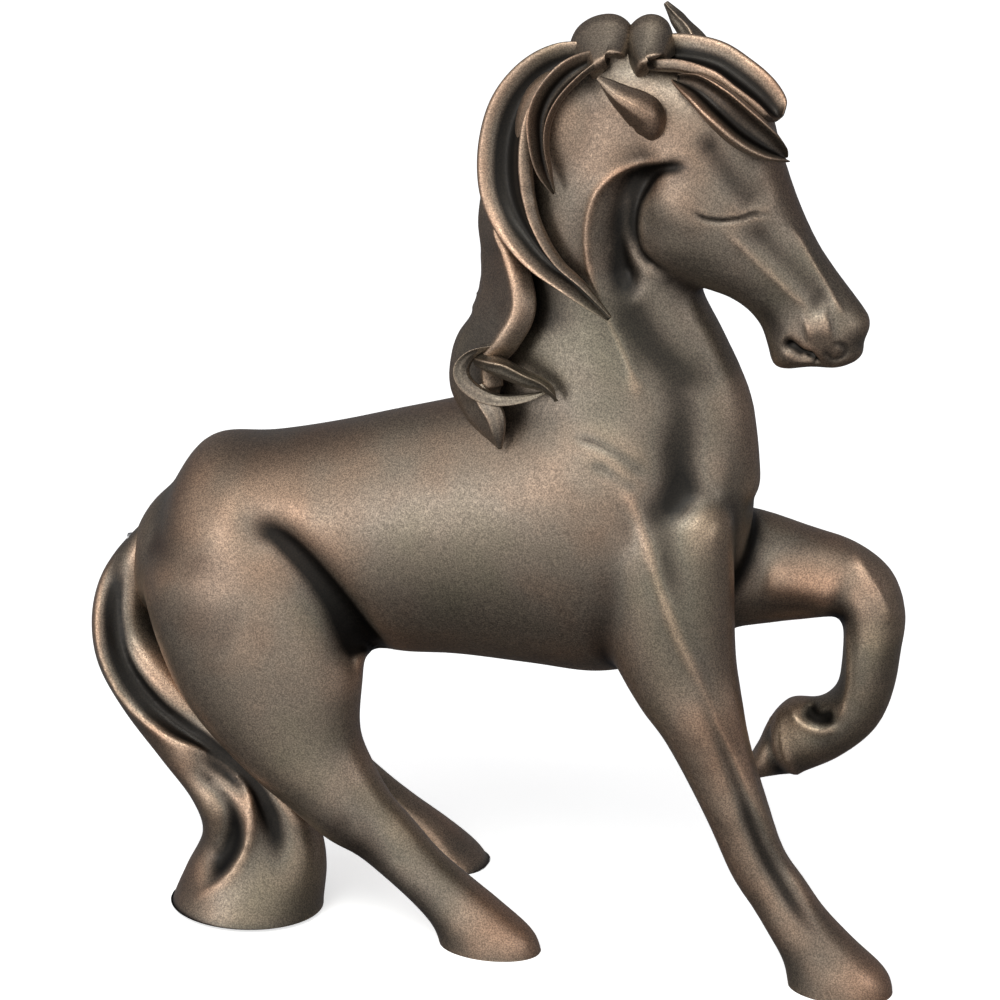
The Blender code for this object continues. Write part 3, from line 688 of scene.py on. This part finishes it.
def part_skin(skin):
    """Parts the skin into one closed piece for each casting, shaded as one surface across the joints."""
    points, normals = get_points(skin), get_normals(skin)
    hollow = np.empty(len(points), np.float32)
    skin.data.attributes["hollow"].data.foreach_get("value", hollow)
    faces = [tuple(p.vertices) for p in skin.data.polygons]
    middles = np.array([points[list(f)].mean(0) for f in faces])
    home = regions(middles)
    pieces = []
    for index, name in enumerate(CASTINGS):
        mine = [faces[k] for k in np.flatnonzero(home == index)]
        used = np.unique(np.concatenate([np.array(f) for f in mine]))
        renumber = {old: new for new, old in enumerate(used)}
        data = bpy.data.meshes.new(name + "_chased")
        data.from_pydata((points[used] + TO_ORIGIN) * MM, [], [tuple(renumber[k] for k in f) for f in mine])
        mesh = bmesh.new()
        mesh.from_mesh(data)
        rim = [e for e in mesh.edges if len(e.link_faces) == 1]
        caps = bmesh.ops.holes_fill(mesh, edges=rim, sides=0)["faces"]
        bmesh.ops.poke(mesh, faces=caps, offset=-1.5 * MM)
        mesh.to_mesh(data)
        mesh.free()
        data.shade_smooth()
        attribute = data.attributes.new("hollow", "FLOAT", "POINT")
        attribute.data.foreach_set("value", np.concatenate([hollow[used], np.zeros(len(data.vertices) - len(used))]))
        loops = np.empty(len(data.loops), int)
        data.loops.foreach_get("vertex_index", loops)
        shade = np.concatenate([normals[used], np.zeros((len(data.vertices) - len(used), 3))])[loops]
        for cap in data.polygons[len(mine):]:
            for k in cap.loop_indices:
                shade[k] = cap.normal
        data.normals_split_custom_set(shade)
        piece = bpy.data.objects.new(name + "_chased", data)
        bpy.context.scene.collection.objects.link(piece)
        pieces.append((piece, name))
    bpy.data.objects.remove(skin)
    return pieces


# ---- materials ----

def node(tree, kind, x=0, y=0, **values):
    made = tree.nodes.new(kind)
    made.location = (x, y)
    for key, value in values.items():
        setattr(made, key, value)
    return made


def ramp(tree, stops, source):
    made = node(tree, "ShaderNodeValToRGB")
    elements = made.color_ramp.elements
    while len(elements) < len(stops):
        elements.new(0.5)
    for element, (at, colour) in zip(elements, stops):
        element.position = at
        element.color = (*colour, 1)
    tree.links.new(source, made.inputs[0])
    return made.outputs[0]


def noise(tree, scale, detail=3.0, rough=0.5):
    made = node(tree, "ShaderNodeTexNoise")
    made.inputs["Scale"].default_value = scale
    made.inputs["Detail"].default_value = detail
    made.inputs["Roughness"].default_value = rough
    tree.links.new(node(tree, "ShaderNodeTexCoord").outputs["Object"], made.inputs["Vector"])
    return made.outputs["Fac"]


def mix(tree, kind, factor, a, b):
    made = node(tree, "ShaderNodeMix", data_type="RGBA", blend_type=kind)
    for socket, value in ((made.inputs[0], factor), (made.inputs[6], a), (made.inputs[7], b)):
        if hasattr(value, "links"):
            tree.links.new(value, socket)
        elif isinstance(value, (int, float)):
            socket.default_value = value
        else:
            socket.default_value = (*value, 1)
    return made.outputs[2]


def spread(tree, source, low, high, out_low=0.0, out_high=1.0):
    made = node(tree, "ShaderNodeMapRange")
    tree.links.new(source, made.inputs["Value"])
    for key, value in (("From Min", low), ("From Max", high), ("To Min", out_low), ("To Max", out_high)):
        made.inputs[key].default_value = value
    return made.outputs["Result"]


def new_material(name):
    made = bpy.data.materials.new(name)
    made.use_nodes = True
    return made, made.node_tree, made.node_tree.nodes["Principled BSDF"]


def bronze_material():
    """Rubbed bronze: fine metallic grain, dark patina together with painted shade in the hollows and along the painted
    shade lines, coppery crests.
    """
    made, tree, shader = new_material("bronze_patina_and_painted_shade")
    hollow = node(tree, "ShaderNodeAttribute", attribute_name="hollow").outputs["Fac"]
    place = spread(tree, hollow, -0.5, 0.5)
    # Light at the crests, dark towards the hollows: the dark end is patina together with painted shade.
    body = ramp(tree, [
        (0.0, (0.36, 0.26, 0.19)), (0.35, (0.215, 0.17, 0.13)), (0.5, (0.175, 0.145, 0.115)),
        (0.62, (0.125, 0.101, 0.08)), (0.8, (0.045, 0.036, 0.028)), (1.0, (0.010, 0.008, 0.006)),
    ], place)
    cloud = ramp(tree, [(0.34, (0.88, 0.93, 0.88)), (0.5, (1, 1, 1)), (0.68, (1.14, 0.98, 0.90))], noise(tree, 24, 3))
    body = mix(tree, "MULTIPLY", 1.0, body, cloud)
    grain = ramp(tree, [(0.36, (0.58, 0.57, 0.57)), (0.5, (1, 1, 1)), (0.66, (1.55, 1.52, 1.48))], noise(tree, 2400, 2, 0.6))
    body = mix(tree, "MULTIPLY", 0.85, body, grain)
    tree.links.new(body, shader.inputs["Base Color"])
    shader.inputs["Metallic"].default_value = 0.95
    shader.inputs["Coat Weight"].default_value = 0.28
    shader.inputs["Coat Roughness"].default_value = 0.36
    tree.links.new(spread(tree, noise(tree, 900, 3), 0.3, 0.7, 0.36, 0.5), shader.inputs["Roughness"])
    bump = node(tree, "ShaderNodeBump")
    bump.inputs["Strength"].default_value = 0.3
    bump.inputs["Distance"].default_value = 0.0001
    tree.links.new(noise(tree, 2300, 3, 0.65), bump.inputs["Height"])
    tree.links.new(bump.outputs["Normal"], shader.inputs["Normal"])
    return made


def steel_material():
    made, tree, shader = new_material("dowel_steel")
    tree.links.new(ramp(tree, [(0.3, (0.45, 0.45, 0.46)), (0.7, (0.62, 0.62, 0.63))], noise(tree, 800)), shader.inputs["Base Color"])
    shader.inputs["Metallic"].default_value = 1.0
    tree.links.new(spread(tree, noise(tree, 1500), 0.3, 0.7, 0.25, 0.4), shader.inputs["Roughness"])
    return made


def felt_material():
    made, tree, shader = new_material("pad_felt")
    tree.links.new(ramp(tree, [(0.3, (0.012, 0.012, 0.012)), (0.7, (0.04, 0.04, 0.04))], noise(tree, 3000)), shader.inputs["Base Color"])
    shader.inputs["Roughness"].default_value = 0.95
    bump = node(tree, "ShaderNodeBump")
    bump.inputs["Distance"].default_value = 0.0002
    tree.links.new(noise(tree, 4000, 4), bump.inputs["Height"])
    tree.links.new(bump.outputs["Normal"], shader.inputs["Normal"])
    return made


BRONZE, STEEL, FELT = bronze_material(), steel_material(), felt_material()


def keep(piece, casting, material=BRONZE):
    piece.data.materials.clear()
    piece.data.materials.append(material)
    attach(piece, "root")
    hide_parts(casting)


for piece, casting in part_skin(body_skin()):
    keep(piece, casting)

tail = make_object("tail_chased", *limb(TAIL, 16, 160))
bake(tail, ("REMESH", dict(mode="VOXEL", voxel_size=0.9 * MM)), ("SMOOTH", dict(factor=0.5, iterations=4)))
chase_all(tail, TAIL_STROKES)
bake(tail, ("REMESH", dict(mode="VOXEL", voxel_size=0.8 * MM)), ("SMOOTH", dict(factor=0.5, iterations=5)))
tail.data.shade_smooth()
tail_points = get_points(tail)
tail_points[:, 2] = np.maximum(tail_points[:, 2], 1.1)
set_points(tail, tail_points)
mark_patina_and_shade(tail, shade_lines=TAIL_PAINTED_SHADE)
keep(tail, "tail_casting")

for name, (stations, profile, thicken, outward) in HAIR.items():
    hair = make_object(name + "_chased", *lock(stations, profile, thicken, outward))
    bake(hair, ("SUBSURF", dict(levels=1, render_levels=1)))
    mark_patina_and_shade(hair, 6, 30, depth=1.9)
    keep(hair, name)

for name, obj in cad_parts.items():
    if name.endswith("_pin"):
        obj.data.materials.clear()
        obj.data.materials.append(STEEL)
    elif name == "tail_pad":
        obj.data.materials.clear()
        obj.data.materials.append(FELT)

# ---- floor, light and camera ----

floor_mesh = bmesh.new()
bmesh.ops.create_grid(floor_mesh, x_segments=1, y_segments=1, size=6)
floor_data = bpy.data.meshes.new("floor")
floor_mesh.to_mesh(floor_data)
floor_mesh.free()
floor = bpy.data.objects.new("floor", floor_data)
bpy.context.scene.collection.objects.link(floor)
floor_look, floor_tree, floor_shader = new_material("white_sweep")
floor_shader.inputs["Base Color"].default_value = (0.93, 0.93, 0.93, 1)
floor_shader.inputs["Roughness"].default_value = 0.9
floor_shader.inputs["Emission Color"].default_value = (1, 1, 1, 1)
floor_shader.inputs["Emission Strength"].default_value = 0.62
floor.data.materials.append(floor_look)

floor.visible_glossy = False

world = bpy.data.worlds.new("studio")
bpy.context.scene.world = world
world.use_nodes = True
sky_tree = world.node_tree
sky_way = node(sky_tree, "ShaderNodeTexCoord").outputs["Generated"]
sky_split = node(sky_tree, "ShaderNodeSeparateXYZ")
sky_tree.links.new(sky_way, sky_split.inputs[0])
front = node(sky_tree, "ShaderNodeVectorMath", operation="DOT_PRODUCT")
front.inputs[1].default_value = Vector((-0.12, -0.94, 0.32)).normalized()
sky_tree.links.new(sky_way, front.inputs[0])
glow = ramp(sky_tree, [
    (0.0, (0.12, 0.12, 0.13)), (0.5, (0.14, 0.14, 0.15)), (0.7, (0.34, 0.34, 0.34)), (0.88, (0.8, 0.8, 0.79)), (1.0, (1, 1, 0.98)),
], spread(sky_tree, front.outputs["Value"], -1, 1))
ground = ramp(sky_tree, [(0.0, (0.16, 0.16, 0.17)), (0.15, (0.28, 0.28, 0.29)), (0.30, (0.75, 0.75, 0.75)), (0.46, (1, 1, 1))],
              spread(sky_tree, sky_split.outputs["Z"], -1, 1))
sky_tree.links.new(mix(sky_tree, "MULTIPLY", 1.0, glow, ground), sky_tree.nodes["Background"].inputs[0])
sky_tree.nodes["Background"].inputs[1].default_value = 1.4
bpy.context.scene.view_settings.view_transform = "Standard"

AZIMUTH, ELEVATION, DISTANCE = math.radians(18), math.radians(20), 1.0
BACK = Vector((math.sin(AZIMUTH) * math.cos(ELEVATION), -math.cos(AZIMUTH) * math.cos(ELEVATION), math.sin(ELEVATION)))
TARGET = Vector((TO_ORIGIN[0] * MM, TO_ORIGIN[1] * MM, 0.128))


def area_light(name, direction, distance, size, power, colour=(1, 1, 1)):
    data = bpy.data.lights.new(name, "AREA")
    data.shape = "DISK"
    data.size = size
    data.energy = power
    data.color = colour
    lamp = bpy.data.objects.new(name, data)
    bpy.context.scene.collection.objects.link(lamp)
    lamp.location = TARGET + Vector(direction).normalized() * distance
    lamp.rotation_euler = (TARGET - lamp.location).to_track_quat("-Z", "Y").to_euler()


area_light("softbox_top", (-0.1, -0.85, 1.0), 1.0, 0.4, 3.0, (0.98, 1, 0.96))
area_light("softbox_front", (1.0, -0.5, 0.35), 1.0, 0.3, 0.6)
area_light("softbox_left", (-0.6, -1.0, 0.1), 1.1, 0.5, 2.0)

camera_data = bpy.data.cameras.new("camera")
camera_data.lens = 130.3
camera_data.sensor_width = 36
camera = bpy.data.objects.new("camera", camera_data)
bpy.context.scene.collection.objects.link(camera)
camera.location = TARGET + BACK * DISTANCE
camera.rotation_euler = BACK.to_track_quat("Z", "Y").to_euler()
bpy.context.scene.camera = camera
